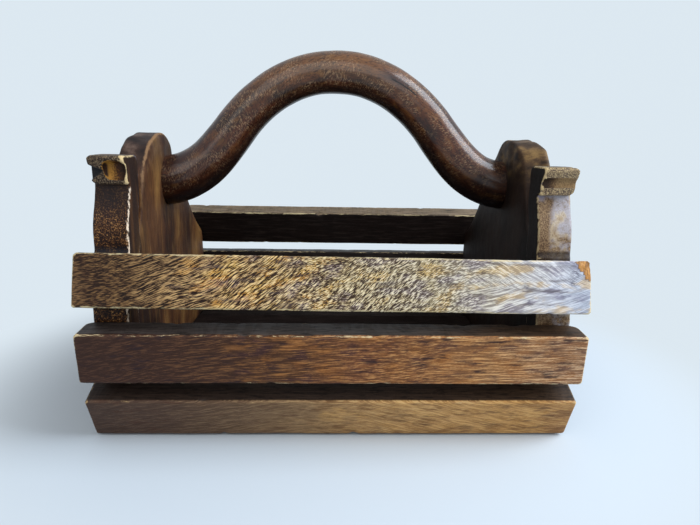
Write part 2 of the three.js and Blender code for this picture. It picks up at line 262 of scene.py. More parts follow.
def area_lamp(name, place, size, power, colour):
    """A rectangular lamp that faces the holder."""
    light = bpy.data.lights.new(name, "AREA")
    light.shape = "RECTANGLE"
    light.size, light.size_y = size
    light.energy = power
    light.color = colour
    lamp = bpy.data.objects.new(name, light)
    lamp.location = place
    lamp.rotation_euler = (AIM - Vector(place)).to_track_quat("-Z", "Y").to_euler()
    scene.collection.objects.link(lamp)


def paint_world():
    """An even sky that lights the wood, and a pale backdrop that only shows."""
    world = bpy.data.worlds.new("room")
    world.use_nodes = True
    scene.world = world
    tree = Tree(world.node_tree)
    sky = tree.node("Background", {"Color": SKY, "Strength": SKY_STRENGTH})
    backdrop = tree.node("Background", {"Color": BACKDROP})
    both = tree.node("MixShader", {0: tree.seen_or_mirrored(), 1: sky, 2: backdrop})
    tree.feed(tree.nodes["World Output"].inputs["Surface"], both)


def floor_finish():
    """Pale paint that keeps the shadow near the holder and fades into the backdrop."""
    f = Finish("floor")
    f.set(Base_Color=FLOOR_COLOUR, Roughness=FLOOR_ROUGHNESS, Specular_IOR_Level=FLOOR_SHINE)
    distance = f.node("VectorMath", {0: f.place()}, "Value", operation="LENGTH")
    share = f.times(f.band(distance, *FLOOR_FADES), f.seen_or_mirrored())
    far = f.node("Emission", {"Color": BACKDROP})
    both = f.node("MixShader", {0: share, 1: f.shader.outputs[0], 2: far})
    f.feed(f.nodes["Material Output"].inputs["Surface"], both)
    return f.material


def lay_floor():
    """A plain pale floor, wide enough to reach the horizon."""
    half = FLOOR_SIZE / 2
    corners = [(x * half, y * half, 0) for x, y in ((-1, -1), (1, -1), (1, 1), (-1, 1))]
    mesh = bpy.data.meshes.new("floor")
    mesh.from_pydata(corners, [], [range(4)])
    mesh.materials.append(floor_finish())
    floor = bpy.data.objects.new("floor", mesh)
    scene.collection.objects.link(floor)


scene.view_settings.view_transform = "Standard"
paint_world()
for name, lamp in LAMPS.items():
    area_lamp(name, **lamp)
lay_floor()
print("lamps and floor ready")

# %% [markdown]
# A slat is a straight bar, sawn and then worn by hands. Its place and lean come from the
# frame: the widest faces of the plain slat give the direction in which it looks outwards, and
# its box gives the middle. So each new slat is modelled lying flat round its own origin, with
# x along it, z up across it and y through its thickness, and then turned into place.

# %% Where each slat lies
# Nailed by eye, two front slats sit a little low, by so many millimetres, and the top one
# leans by a part of a degree, its right end lower.
SETTLED = {"front_top_slat": (1.2, 0.36), "front_middle_slat": (1.1, 0.0)}
# A part of a normal that is smaller than this counts as none.
NO_LEAN = 0.01


def slat_place(name):
    """A slat's turn and place, and its half length, thickness and width in millimetres."""
    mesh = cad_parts[name].data
    low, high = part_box(name)
    middle = (low + high) / 2
    areas = Counter()
    for face in mesh.polygons:
        x, y, z = face.normal
        if abs(x) < NO_LEAN and (y > 0 or (abs(y) < NO_LEAN and z > 0)):
            areas[round(y, 2), round(z, 2)] += face.area
    length = Vector((1, 0, 0))
    through = Vector((0, *max(areas, key=areas.get))).normalized()
    across = length.cross(through)
    points = [vertex.co - middle for vertex in mesh.vertices]
    halves = [max(abs(p.dot(axis)) for p in points) / MM for axis in (length, through, across)]
    turn = Matrix((length, through, across)).transposed().to_4x4()
    drop, lean = SETTLED.get(name, (0, 0))
    settled = Matrix.Translation((0, 0, -drop * MM)) @ Matrix.Rotation(math.radians(lean), 4, "Y")
    return Matrix.Translation(middle) @ settled @ turn, halves


SLATS = [f"{side}_{level}_slat" for side in ("front", "rear") for level in ("top", "middle", "bottom")]
SLATS += [f"floor_slat_{number}" for number in (1, 2, 3, 4)]
for name in SLATS:
    matrix, halves = slat_place(name)
    print(name, [round(2 * half, 1) for half in halves], "at", [round(v, 4) for v in matrix.translation])

# %% [markdown]
# The slat's mesh. A cube with a bevel would do for a new slat, but these are old: the arrises
# wander, they have nicks, the ends are not quite flat, and one corner has lost a flake. So the
# bar is built as rings of points, which gives rows of small faces that can be moved one by
# one, and every point is then pushed by smooth noise.

# %% Rings into a mesh
def rounded_section(half_y, half_z, radius, steps, spacing):
    """Points round a rectangle with rounded corners, the same count for any inset."""
    corners = [(1, 1, 0), (-1, 1, 90), (-1, -1, 180), (1, -1, 270)]
    arcs = []
    for side_y, side_z, start in corners:
        centre = np.array([side_y * (half_y - radius), side_z * (half_z - radius)])
        angles = np.radians(start + np.linspace(0, 90, steps + 1))
        arcs.append(centre + radius * np.column_stack([np.cos(angles), np.sin(angles)]))
    points = []
    for index, arc in enumerate(arcs):
        points.extend(arc)
        start, stop = arc[-1], arcs[(index + 1) % 4][0]
        shares = np.linspace(0, 1, spacing[index % 2] + 2)[1:-1]
        points.extend(start + (stop - start) * share for share in shares)
    return np.array(points)


def skin(rings):
    """Points and faces of a closed skin over rings with the same number of points."""
    number = np.arange(len(rings) * len(rings[0])).reshape(len(rings), -1)
    after = np.roll(number, -1, axis=1)
    quads = np.stack([number[:-1], number[1:], after[1:], after[:-1]], axis=2).reshape(-1, 4)
    return np.concatenate(rings), quads.tolist() + [number[0].tolist(), number[-1][::-1].tolist()]


def piece_from(name, points, faces, matrix=None):
    """An object from points in millimetres, smooth shaded, placed by a matrix."""
    mesh = bpy.data.meshes.new(name)
    mesh.from_pydata([tuple(point) for point in points * MM], [], faces)
    mesh.polygons.foreach_set("use_smooth", [True] * len(mesh.polygons))
    piece = bpy.data.objects.new(name, mesh)
    if matrix is not None:
        piece.matrix_world = matrix
    scene.collection.objects.link(piece)
    return piece


# Blender starts its noise vectors from the clock unless they are given a seed.
NOISE_SEED = 11
noise.seed_set(NOISE_SEED)
# How far apart two neighbouring seeds lie in the noise, so that no two pieces wear alike.
SEED_STEPS = (17.3, 5.1, 11.7)


def wander(points, waves, seed):
    """Pushes points by smooth noise; a wave gives its size and its push in millimetres."""
    offset = Vector([seed * step for step in SEED_STEPS])
    for size, amount in waves:
        pushes = [noise.noise_vector(Vector(point) / size + offset) for point in points]
        points = points + np.array(pushes) * amount
    return points


# How round the arrises are, down to the least one in the middle of an end; how far apart the
# points lie; and half the thickness of the smallest ring on an end.
SLAT_ARRIS, SLAT_END_ARRIS, LEAST_ARRIS = 1.8, 1.5, 0.4
SLAT_STEP, RING_STEPS, END_CORE = 1.3, 4, 0.8


def slat_points(halves):
    """A bar with rounded arrises, its ends closed by shrinking rings."""
    half_x, half_y, half_z = halves
    spacing = (round(2 * half_y / SLAT_STEP), round(2 * half_z / SLAT_STEP))

    def ring(x, inset):
        radius = max(SLAT_ARRIS - inset, LEAST_ARRIS)
        section = rounded_section(half_y - inset, half_z - inset, radius, RING_STEPS, spacing)
        return np.column_stack([np.full(len(section), x), section])

    tip = [ring(half_x, inset) for inset in np.arange(half_y - END_CORE, SLAT_END_ARRIS, -SLAT_STEP)]
    for angle in np.radians(np.linspace(90, 0, RING_STEPS + 1)):
        drop = SLAT_END_ARRIS * (1 - math.cos(math.radians(90) - angle))
        tip.append(ring(half_x - drop, SLAT_END_ARRIS * (1 - math.cos(angle))))
    straight = half_x - SLAT_END_ARRIS
    body = [ring(x, 0) for x in np.linspace(straight, -straight, round(2 * straight / SLAT_STEP))[1:-1]]
    other = [part * np.array([-1, 1, 1]) for part in reversed(tip)]
    return skin(tip + body + other)


print("slat builder ready")

# %% Wear on a slat's shape
# A nick's radius and depth, and between which shares of them the nicks vary.
NICK_RADIUS, NICK_RADII = 3.0, (0.4, 1.3)
NICK_DEPTH, NICK_DEPTHS = 1.0, (0.2, 1.0)
TEAR_SIZE, TEAR_DEPTH = 3, 0.16
PIT_RADIUS, PIT_DEPTH = 1.9, 0.45
# Added to an edge's squared length, so that the shortest edges don't count as sharp.
SHORT_EDGE = 0.05


def nick_arrises(points, halves, count, seed):
    """Small bites out of the long arrises, at places drawn from a seeded run."""
    rolls = random.Random(seed)
    half_x, half_y, half_z = halves
    for _ in range(count):
        centre = np.array([
            rolls.uniform(-half_x, half_x),
            rolls.choice([-1, 1]) * half_y,
            rolls.choice([-1, 1]) * half_z,
        ])
        radius = NICK_RADIUS * rolls.uniform(*NICK_RADII)
        near = np.exp(-(((points - centre) / radius) ** 2).sum(axis=1))
        inwards = -np.sign(centre) * np.array([0, 1, 1])
        points += near[:, None] * inwards * NICK_DEPTH * rolls.uniform(*NICK_DEPTHS)


def break_corner(points, corner, reach, seed):
    """Takes a flake off a corner: what lies beyond a rough plane is laid onto it."""
    outwards, reach = np.sign(corner), np.array(reach, float)
    depth = 1 - ((np.abs(corner) - points * outwards) / reach).sum(axis=1)
    offset = Vector((seed, 0, 0))
    depth += [TEAR_DEPTH * noise.noise(Vector(point) / TEAR_SIZE + offset) for point in points]
    normal = outwards / reach
    length = np.linalg.norm(normal)
    cut = depth > 0
    points[cut] -= (depth[cut] / length)[:, None] * (normal / length)
    return cut.astype(float)


def round_corner(points, halves, axes, signs, radius):
    """Rounds the corner between two axes: its square of points is drawn in to a disc."""
    a, b = axes
    over_a = points[:, a] * signs[0] - (halves[a] - radius)
    over_b = points[:, b] * signs[1] - (halves[b] - radius)
    inside = (over_a > 0) & (over_b > 0)
    longest = np.maximum(over_a, over_b)[inside]
    diagonal = np.hypot(over_a, over_b)[inside]
    points[inside, a] += signs[0] * over_a[inside] * (longest / diagonal - 1)
    points[inside, b] += signs[1] * over_b[inside] * (longest / diagonal - 1)


def dimple(points, x, z, side):
    """A small round pit in a wide face, where a nail was driven in."""
    near = np.exp(-(((points[:, 0] - x) ** 2 + (points[:, 2] - z) ** 2) / PIT_RADIUS ** 2) ** 2)
    points[:, 1] -= side * near * (points[:, 1] * side > 0) * PIT_DEPTH


def store(piece, name, values):
    """Keeps a number with each point of a piece, for its finish to read."""
    piece.data.attributes.new(name, "FLOAT", "POINT").data.foreach_set("value", values)


def mark_arrises(piece, spread=2):
    """Stores how sharply the surface turns at each point, in turns per millimetre."""
    mesh = piece.data
    count = len(mesh.vertices)
    places, normals = np.empty((count, 3)), np.empty((count, 3))
    ends = np.empty((len(mesh.edges), 2), dtype=np.int64)
    mesh.vertices.foreach_get("co", places.ravel())
    mesh.vertex_normals.foreach_get("vector", normals.ravel())
    mesh.edges.foreach_get("vertices", ends.ravel())
    a, b = ends.T
    span = places[b] / MM - places[a] / MM
    length = (span ** 2).sum(axis=1) + SHORT_EDGE
    number = np.bincount(ends.ravel(), minlength=count)
    turning = np.bincount(a, -(normals[a] * span).sum(axis=1) / length, count)
    turning += np.bincount(b, (normals[b] * span).sum(axis=1) / length, count)
    turning /= number
    for _ in range(spread):
        around = np.bincount(a, turning[b], count) + np.bincount(b, turning[a], count)
        turning = (turning + around / number) / 2
    store(piece, "arris", turning)
    return turning


print("wear ready")

# %% Shape the slats
SLAT_WAVES = [(70, 0.35), (16, 0.16), (4, 0.07)]
NAIL_X = {"top": 167.5, "middle": 167.5, "bottom": 167.5, "floor": 175.5}
NAIL_Z = {"top": (-7, -15), "middle": (-9, 9), "bottom": (-9, 9), "floor": (-9, 9)}
NICKS = {"top": 20, "middle": 26, "bottom": 12, "floor": 8}
FLAKE = {"corner": (190, -12, 20), "reach": (13, 3.6, 18), "seed": 3}
BACK_CORNER = 9
END_CORNER, END_CORNER_VARIES = 2.2, 0.9
slats = {}
for seed, name in enumerate(SLATS, start=1):
    level = next(level for level in NICKS if level in name)
    matrix, halves = slat_place(name)
    points, faces = slat_points(halves)
    if name == "front_middle_slat":
        for end in (-1, 1):
            round_corner(points, halves, (0, 1), (end, 1), BACK_CORNER)
    for end, edge in ((-1, -1), (-1, 1), (1, -1), (1, 1)):
        radius = END_CORNER + END_CORNER_VARIES * math.sin(seed * 7 + end + 2 * edge)
        round_corner(points, halves, (0, 2), (end, edge), radius)
    points = wander(points, SLAT_WAVES, seed)
    nick_arrises(points, halves, NICKS[level], seed)
    for x in (-NAIL_X[level], NAIL_X[level]):
        for z in NAIL_Z[level]:
            dimple(points, x, z, 1 if name.startswith("rear") else -1)
    fresh = np.zeros(len(points))
    if name == "front_top_slat":
        fresh = break_corner(points, **FLAKE)
    slat = piece_from(f"worn_{name}", points, faces, matrix)
    store(slat, "fresh", fresh)
    turns = mark_arrises(slat)
    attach(slat, "root")
    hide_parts(name)
    slats[name] = slat
    print(name, len(faces), "faces; arris", round(float(np.percentile(turns, 99)), 3))

# %% [markdown]
# The handle is one bar, sawn from a wide plank to an S on each side of its crown, rounded with
# a spokeshave and polished by hands. A curve with a bevel would give it one constant section.
# The real bar swells where it meets the posts and is never quite round, so it is made as rings
# along a smooth middle line. Each point also keeps its place on the straightened bar, so that
# the grain can follow the bend instead of cutting straight through it.

# %% A smooth line through measured places
CURVE_STEPS = 40


def smooth_line(places, count):
    """Evenly spaced points on a curve through places, with the curve's direction at each."""
    places = np.array(places, float)
    ends = 2 * places[[0, -1]] - places[[1, -2]]
    knots = np.vstack([ends[0], places, ends[1]])
    fine = []
    for a, b, c, d in zip(knots, knots[1:], knots[2:], knots[3:]):
        for share in np.linspace(0, 1, CURVE_STEPS, endpoint=False):
            fine.append(0.5 * (
                2 * b + (c - a) * share + (2 * a - 5 * b + 4 * c - d) * share ** 2
                + (3 * b - a - 3 * c + d) * share ** 3
            ))
    fine = np.array(fine + [places[-1]])
    length = np.concatenate([[0], np.cumsum(np.linalg.norm(np.diff(fine, axis=0), axis=1))])
    even = np.linspace(0, length[-1], count)
    line = np.column_stack([np.interp(even, length, fine[:, axis]) for axis in range(fine.shape[1])])
    heading = np.gradient(line, axis=0)
    heading /= np.linalg.norm(heading, axis=1)[:, None]
    return line, heading, length[-1]


VALUE_STEPS = 400


def smooth_values(places, values, wanted):
    """Values read off a smooth curve through a few known ones."""
    curve, _, _ = smooth_line(list(zip(places, values)), VALUE_STEPS)
    return np.interp(wanted, curve[:, 0], curve[:, 1])


# Middle line of the handle in X and Z, from the left post to the right one.
LEFT_LIMB = [
    (-163.5, 194.2), (-152.7, 195.8), (-136, 202.4), (-119.8, 214.6), (-103, 233.8), (-88.5, 252.2),
    (-74, 267.0), (-57, 279.8), (-39, 289), (-20, 294.6),
]
CROWN = [(0, 296.2)]
RIGHT_LIMB = [(-x, z) for x, z in reversed(LEFT_LIMB)]
HANDLE_RINGS = 280
line, heading, handle_length = smooth_line(LEFT_LIMB + CROWN + RIGHT_LIMB, HANDLE_RINGS)
print("handle's middle line", round(handle_length), "mm")

# %% Shape the handle
HANDLE_SHARES = [-1, -0.82, -0.55, -0.2, 0.1, 0.45, 0.65, 0.85, 1]
HANDLE_HIGHS = [47, 43.0, 39.5, 38.2, 38.4, 39.8, 41.5, 43.5, 46.5]
HANDLE_DEEPS = [46, 41.0, 38.0, 37.0, 37.0, 37.5, 38.5, 41.5, 46.0]
LIMB_SIDES = 92
HANDLE_WAVES, HANDLE_SEED = [(60, 0.7), (18, 0.28), (6, 0.08)], 31


def handle_rings():
    """Points round the bar, and each point's place on the straightened bar."""
    rings, straight = [], []
    turns = np.linspace(0, 2 * np.pi, LIMB_SIDES, endpoint=False)
    shares = np.linspace(-1, 1, len(line))
    highs = smooth_values(HANDLE_SHARES, HANDLE_HIGHS, shares)
    deeps = smooth_values(HANDLE_SHARES, HANDLE_DEEPS, shares)
    for at, high, deep, centre, ahead in zip(shares, highs, deeps, line, heading):
        rise, aside = high / 2 * np.cos(turns), deep / 2 * np.sin(turns)
        rings.append(np.column_stack([centre[0] - ahead[1] * rise, aside, centre[1] + ahead[0] * rise]))
        run = np.full(LIMB_SIDES, at * handle_length / 2)
        straight.append(np.column_stack([run, aside, rise]))
    return rings, np.concatenate(straight)


rings, straight = handle_rings()
points, faces = skin(rings)
handle = piece_from("carved_handle", wander(points, HANDLE_WAVES, HANDLE_SEED), faces)
grain = handle.data.attributes.new("grain", "FLOAT_VECTOR", "POINT")
grain.data.foreach_set("vector", (straight * MM).ravel())
mark_arrises(handle)
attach(handle, "root")
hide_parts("handle")
print("handle", len(faces), "faces")

# %% [markdown]
# The end boards are the carver's main work: a post with a crowned hump, a slot, and a leaning
# prong with a hollowed ear, all left in one thick board. Boxes and booleans would leave sharp
# seams that a knife never leaves. Here the board is a field instead: a number at each point
# of a fine grid that tells how far the wood's surface is, below zero inside it. Two shapes
# meet in a rounded arris or a fillet when their fields are joined by a rounded rule, and a
# gouge cut is one more field taken away. The skin is then laid where the field is zero.

# %% Fields that meet as carved wood does
def meet(a, b, radius):
    """What lies inside both fields, with its arris rounded."""
    corner = np.hypot(np.maximum(radius + a, 0), np.maximum(radius + b, 0))
    return np.minimum(-radius, np.maximum(a, b)) + corner


def join(a, b, radius):
    """What lies inside either field, with a fillet in the corner between them."""
    return -meet(-a, -b, radius)


# Keeps the division safe where two points of an outline coincide.
LEAST_SQUARE = 1e-9


def outline_field(outline, y, z):
    """Distance to a closed outline, below zero inside it."""
    nearest = np.full(y.shape, np.inf)
    inside = np.zeros(y.shape, bool)
    for (y0, z0), (y1, z1) in zip(outline, np.roll(outline, -1, axis=0)):
        run_y, run_z = y1 - y0, z1 - z0
        size = max(run_y ** 2 + run_z ** 2, LEAST_SQUARE)
        share = np.clip(((y - y0) * run_y + (z - z0) * run_z) / size, 0, 1)
        nearest = np.minimum(nearest, (y - y0 - share * run_y) ** 2 + (z - z0 - share * run_z) ** 2)
        if z0 != z1:
            crosses = (z0 > z) != (z1 > z)
            inside ^= crosses & (y < y0 + (z - z0) * run_y / run_z)
    return np.where(inside, -1, 1) * np.sqrt(nearest)


def skin_of(field, low, step):
    """Points and quads of the skin where a field on a grid changes sign."""
    at, quads = [], []
    for axis in range(3):
        near, far = [slice(None)] * 3, [slice(None)] * 3
        near[axis], far[axis] = slice(None, -1), slice(1, None)
        a, b = field[tuple(near)], field[tuple(far)]
        places = np.argwhere((a < 0) != (b < 0))
        here, there = a[tuple(places.T)], b[tuple(places.T)]
        crossing = places.astype(float)
        crossing[:, axis] += here / (here - there)
        cells = np.repeat(places[:, None, :], 4, axis=1)
        cells[:, :, (axis + 1) % 3] += [0, -1, -1, 0]
        cells[:, :, (axis + 2) % 3] += [0, 0, -1, -1]
        quad = np.ravel_multi_index(np.moveaxis(cells, 2, 0), field.shape)
        quad[here > 0] = quad[here > 0][:, ::-1]
        at.append(np.repeat(crossing, 4, axis=0))
        quads.append(quad)
    _, compact = np.unique(np.concatenate(quads).ravel(), return_inverse=True)
    number = np.bincount(compact)
    points = np.column_stack([np.bincount(compact, part) / number for part in np.concatenate(at).T])
    return points * step + np.array(low), compact.reshape(-1, 4)


print("field tools ready")

# %% Outlines of the end board
OUTER, INNER, POST_FACE, WEB_FACE = 185.0, 158.0, 161.5, 163.5
SIDE_CENTRE_Y, SIDE_CENTRE_Z, SIDE_RADIUS = 18.8, 89.8, 152.5
STRIP_DEPTH, FLOOR_TOP = 23, 24.3
SHOULDER_Y, SHOULDER_Z = -121.3, 150.0
POST_RISE, POST_FOOT, POST_STEPS = 88.0, -20, 240
# The third number is the share of the flare by which the post's front edge swells forwards on
# its way to the outer face.
POST_SHARES = [
    (-1.15, -0.32, 0), (-0.79, -0.035, 0), (-0.64, 0.18, 0), (-0.577, 0.42, 0.35),
    (-0.511, 0.631, 0.9), (-0.41, 0.83, 1), (-0.28, 0.949, 0.9), (-0.12, 1, 0.3),
    (0.025, 0.977, 0), (0.12, 0.888, 0), (0.404, 0.5, 0), (0.767, -0.011, 0), (1.15, -0.37, 0),
]
POST_FLARES = {"left": 8.5, "right": 13}
PRONG_FRONT, PRONG_BACK, PRONG_ROOT = -110.3, -90.3, -96.3
SLOT_FLOOR, SLOT_FILLET, SLOT_WIDTH = 155.0, 9, 24
EAR_HEIGHT, EAR_NOSE, EAR_TAPER, EAR_BACK, EAR_HOOK = 22, 3, 6.5, 7, 5
EAR_OVERHANGS = {"left": 11.5, "right": 12.5}
EAR_TOPS = {"left": 221.0, "right": 217.5}


def side_arc(radius, start_z, stop_z, count=40):
    """Points on an arc of the barrel-shaped front, between two heights."""
    start, stop = (math.pi - math.asin((z - SIDE_CENTRE_Z) / radius) for z in (start_z, stop_z))
    angles = np.linspace(start, stop, count)
    return [(SIDE_CENTRE_Y + radius * math.cos(t), SIDE_CENTRE_Z + radius * math.sin(t)) for t in angles]


def bow(*handles, count=24):
    """Points on a Bezier curve of any degree."""
    degree = len(handles) - 1
    shares = np.linspace(0, 1, count)
    weights = [math.comb(degree, k) * shares ** k * (1 - shares) ** (degree - k) for k in range(degree + 1)]
    return [tuple(point) for point in np.array(weights).T @ np.array(handles, float)]


def post_outline(flare):
    across, up, swell = np.array(POST_SHARES).T
    places = np.column_stack([-across * SHOULDER_Y - swell * flare, SHOULDER_Z + up * POST_RISE])
    over, _, _ = smooth_line(places, POST_STEPS)
    return np.vstack([over, (over[-1][0], POST_FOOT), (over[0][0], POST_FOOT)])


def prong_outline(side):
    """The strip along the front edge, its prong and its ear, seen from the side."""
    ear_top = EAR_TOPS[side]
    ear_foot, ear_front = ear_top - EAR_HEIGHT, PRONG_FRONT - EAR_OVERHANGS[side]
    lip, slot_foot = ear_front + EAR_TAPER, SLOT_FLOOR + SLOT_FILLET
    behind, hook = (slot_foot + ear_foot) / 2, (SHOULDER_Z + ear_foot) / 2
    hook_top, hook_foot = (PRONG_FRONT - EAR_HOOK, hook), (SHOULDER_Y, hook + EAR_HOOK)
    return np.array(
        bow((PRONG_ROOT, slot_foot), (PRONG_ROOT, behind), (PRONG_BACK, behind), (PRONG_BACK, ear_foot))
        + bow((PRONG_BACK, ear_top - EAR_BACK), (PRONG_BACK, ear_top), (PRONG_BACK - EAR_BACK, ear_top))
        + bow((ear_front + EAR_NOSE, ear_top), (ear_front, ear_top), (ear_front, ear_top - EAR_NOSE))
        + bow((lip, ear_foot + EAR_NOSE), (lip, ear_foot), (lip + EAR_NOSE, ear_foot))
        + bow((PRONG_FRONT, ear_foot), hook_top, hook_foot, (SHOULDER_Y, SHOULDER_Z))
        + side_arc(SIDE_RADIUS, SHOULDER_Z, FLOOR_TOP)
        + side_arc(SIDE_RADIUS - STRIP_DEPTH, FLOOR_TOP, SHOULDER_Z)
    )


def web_outline():
    """The web that closes the foot of the slot."""
    post_side, bend_in = PRONG_ROOT + SLOT_WIDTH, SLOT_WIDTH / 5
    foot, front = SHOULDER_Z / 2, SHOULDER_Y + STRIP_DEPTH / 2
    return np.array(
        [(post_side + STRIP_DEPTH, foot), (post_side + STRIP_DEPTH, SLOT_FLOOR)]
        + bow(
            (post_side, SLOT_FLOOR + SLOT_FILLET), (post_side - bend_in, SLOT_FLOOR),
            (PRONG_ROOT + bend_in, SLOT_FLOOR), (PRONG_ROOT, SLOT_FLOOR + SLOT_FILLET),
        )
        + [(front, SHOULDER_Z), (front, foot)]
    )


print("outlines ready")

# %% Carve an end board
# Both boards are carved on the side where x is positive; the left one is mirrored afterwards.
SIGNS = {"left": -1, "right": 1}
GRID, GRID_LOW, GRID_HIGH = 1.05, (INNER - 2, -137, 22), (OUTER + 3, 137, 242)
CROWN_WIDTH, CROWN_DEPTH = 14.0, 2.5
POST_OUTER_ARRIS, POST_INNER_ARRIS, PRONG_ARRIS, WEB_ARRIS, CUT_ARRIS = 5.0, 1.0, 1.6, 1.5, 0.7
LIP_ROUND, LOBE_ROUND, WEB_FILLET, PRONG_FILLET = 4.0, 5.0, 2.5, 1.0
# A gouge cut is a rounded hollow: its middle, its reach along each axis, and how square it is.
SCOOPS = {
    "left": {"middle": (165.9, -121.5, 209.4), "reach": (8.1, 8.2, 7.4), "square": 3.2},
    "right": {"middle": (171.5, -122.0, 204.4), "reach": (60, 5.2, 4.9), "square": 2.0},
}
# The left ear is split by a knife at its outer end: the tip of the cut, how steeply its two
# flanks open, and the depth that it reaches. Below the split the corner is pared off.
SPLIT_TIP, SPLIT_FLANKS, SPLIT_BACK = (174.6, 209.6), (0.42, 0.70), -113.0
PARED_AT, PARED_SLOPE = (178.5, -121.8), 1.7
HOUSING_GAP = 0.3
BOARD_WAVES, BOARD_SEED = [(22, 0.3), (7, 0.18)], 41
KNOB_FROM, KNOB_FADE, KNOB_INSET = 196.0, 14.0, 4
KNOB_WAVES, KNOB_SEED = [(15, 1.4)], 47
# The skin that lies this near to the edge of a cut belongs to it.
CUT_SKIN = 0.5


def slat_room(y, z):
    """The room that the slats take out of an end board, seen from the side."""
    room = np.full(y.shape, np.inf)
    for name in SLATS:
        matrix, (_, *halves) = slat_place(name)
        middle = matrix.translation / MM
        beyond = [
            np.abs((y - middle.y) * axis[1] + (z - middle.z) * axis[2]) - half
            for axis, half in zip((matrix.col[1], matrix.col[2]), halves)
        ]
        room = np.minimum(room, np.maximum(*beyond) - HOUSING_GAP)
    return room


def scoop_field(side, x, y, z):
    """A gouge cut in the front of an ear, below zero inside the cut."""
    middle, reach, square = (SCOOPS[side][key] for key in ("middle", "reach", "square"))
    shares = [abs(value - centre) / length for value, centre, length in zip((x, y, z), middle, reach)]
    far = sum(share ** square for share in shares) ** (1 / square)
    return (far - 1) * min(reach)


def split_field(x, y, z):
    """The knife's split in the left ear and the pared corner, below zero inside them."""
    out, up = x - SPLIT_TIP[0], z - SPLIT_TIP[1]
    split = np.maximum(-up - SPLIT_FLANKS[1] * out, y - SPLIT_BACK)
    pared = (PARED_SLOPE * (y - PARED_AT[1]) - (x - PARED_AT[0])) / math.hypot(1, PARED_SLOPE)
    lip = up - SPLIT_FLANKS[0] * out
    foot = EAR_TOPS["left"] - EAR_HEIGHT - z
    return np.maximum(np.maximum(lip, foot), np.minimum(split, pared))


def carve_board(side):
    """Points and quads of one end board, carved for the right-hand end."""
    x, y, z = (np.arange(low, high, GRID) for low, high in zip(GRID_LOW, GRID_HIGH))
    x = x[:, None, None]
    y, z = np.meshgrid(y, z, indexing="ij")
    front = np.hypot(y - SIDE_CENTRE_Y, z - SIDE_CENTRE_Z) - SIDE_RADIUS
    rear = np.hypot(y + SIDE_CENTRE_Y, z - SIDE_CENTRE_Z) - SIDE_RADIUS
    barrel = np.where(z < SHOULDER_Z, np.maximum(front, rear), np.abs(y) + SHOULDER_Y)
    inner = outline_field(post_outline(0), y, z)
    outer = outline_field(post_outline(POST_FLARES[side]), y, z)
    across = np.clip((x - POST_FACE) / (OUTER - POST_FACE), 0, 1)
    post = np.maximum(np.maximum(inner + (outer - inner) * across, barrel), FLOOR_TOP - z)
    near_rim = np.clip((CROWN_WIDTH + post) / CROWN_WIDTH, 0, 1)
    crown = CROWN_DEPTH * (1 - np.sqrt(1 - near_rim ** 2))
    field = meet(post, x - OUTER, POST_OUTER_ARRIS)
    field = meet(field, POST_FACE + crown - x, POST_INNER_ARRIS)
    web = np.maximum(outline_field(web_outline(), y, z), FLOOR_TOP - z)
    web = meet(meet(web, x - OUTER, WEB_ARRIS), WEB_FACE - x, WEB_ARRIS)
    field = join(field, web, WEB_FILLET)
    prong = np.maximum(outline_field(prong_outline(side), y, z), FLOOR_TOP - z)
    prong = meet(meet(prong, x - OUTER, PRONG_ARRIS), INNER - x, PRONG_ARRIS)
    ear_top, ear_foot = EAR_TOPS[side], EAR_TOPS[side] - EAR_HEIGHT
    end = meet(meet(x - OUTER, z - ear_top, LIP_ROUND), ear_foot - z, LOBE_ROUND)
    prong = np.where((y < PRONG_FRONT) & (z > ear_foot), np.maximum(prong, end), prong)
    field = join(field, prong, PRONG_FILLET)
    field = meet(field, -scoop_field(side, x, y, z), CUT_ARRIS)
    if side == "left":
        field = meet(field, -split_field(x, y, z), CUT_ARRIS)
    field = np.maximum(field, -slat_room(y, z))
    return skin_of(field, GRID_LOW, GRID)


boards = {}
for side, sign in SIGNS.items():
    points, faces = carve_board(side)
    scooped = np.abs(scoop_field(side, *points.T)) < CUT_SKIN
    pared = (np.abs(split_field(*points.T)) < CUT_SKIN) & (side == "left")
    points = wander(points, BOARD_WAVES, BOARD_SEED + sign)
    on_knob = np.clip((points[:, 2] - KNOB_FROM) / KNOB_FADE, 0, 1)
    on_knob *= points[:, 1] > PRONG_BACK + KNOB_INSET
    points += on_knob[:, None] * (wander(points, KNOB_WAVES, KNOB_SEED + sign) - points)
    if side == "left":
        points, faces = points * np.array([-1, 1, 1]), faces[:, ::-1]
    board = piece_from(f"carved_{side}_end_board", points, faces.tolist())
    store(board, "scooped", scooped.astype(float))
    store(board, "pared", pared.astype(float))
    turns = mark_arrises(board, spread=3)
    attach(board, "root")
    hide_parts(f"{side}_end_board")
    boards[side] = board
    print(side, "end board", len(faces), "faces; arris", round(float(np.percentile(turns, 99)), 3))

# %% [markdown]
# The finish of the slats. On the real ones the dark stain has worn off the outer faces, and the
# grain shows as short dark strokes that lean one way, then the other, because the tree's fibres
# grew interlocked. Each lean is a noise that is stretched along the stroke and turned; the
# layers take over from each other along the slat. A photograph wrapped round the bar would
# be quicker, but strokes made by nodes stay sharp at any distance and run round the arrises.

# %% Strokes and marks
HALF_LENGTH = 190
STROKE_DEPTH = 40
SPOT_CORE = 0.3


def along(f, x):
    """0 at the left end of a slat and 1 at the right one."""
    return f.node("MapRange", {"Value": x, "From Min": -HALF_LENGTH * MM, "From Max": HALF_LENGTH * MM})


def strokes(f, where, share, layers):
    """Leaning noises that take over from each other along the slat."""
    bed = None
    for start, lean, length, width in layers:
        layer = f.grain(where, (length, STROKE_DEPTH, width), lean=-lean, detail=2.5, warp=0.2)
        if bed is None:
            bed = layer
        else:
            bed = f.node("Mix", {"Factor": f.after(share, start, 0.04), 2: bed, 3: layer})
    return bed


